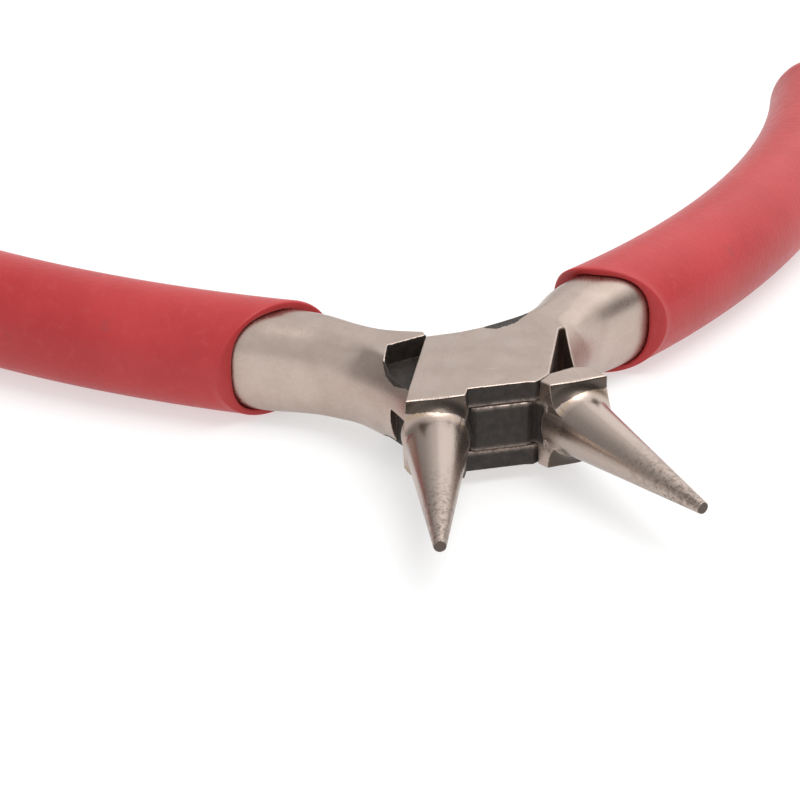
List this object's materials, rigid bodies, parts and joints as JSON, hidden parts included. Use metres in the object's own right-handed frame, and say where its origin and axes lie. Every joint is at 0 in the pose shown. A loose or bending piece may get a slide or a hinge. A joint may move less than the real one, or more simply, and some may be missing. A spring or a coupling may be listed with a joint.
{
  "type": "round nose pliers",
  "caption": "Box joint round nose pliers with slim conical jaws for looping wire and curved, plastic-dipped handles.",
  "frame": {"origin": "on the rivet's axis, at the lower cheek's outer face", "axes": "+Z along the rivet's axis towards the upper cheek, -Y midway between the open jaws, +X towards the outer lever's handle"},
  "size_m": [0.151, 0.105, 0.0127],
  "materials": {
    "lever_steel": "ground satin steel, left dark from the forge between the jaws and in the corners",
    "rivet_steel": "ground flush with the cheeks",
    "grip_pvc": "coral red dipped plastic, soft satin"
  },
  "bodies": {
    "outer_half": {"outer_lever": "lever_steel", "rivet": "rivet_steel", "outer_grip": "grip_pvc"},
    "inner_half": {"inner_lever": "lever_steel", "inner_grip": "grip_pvc"}
  },
  "joints": [
    {"name": "pivot", "type": "hinge", "parent": "outer_half", "child": "inner_half", "pos_m": [0, 0, 0.00475], "axis": [0, 0, -1], "range_deg": [0, 48.5]}
  ]
}
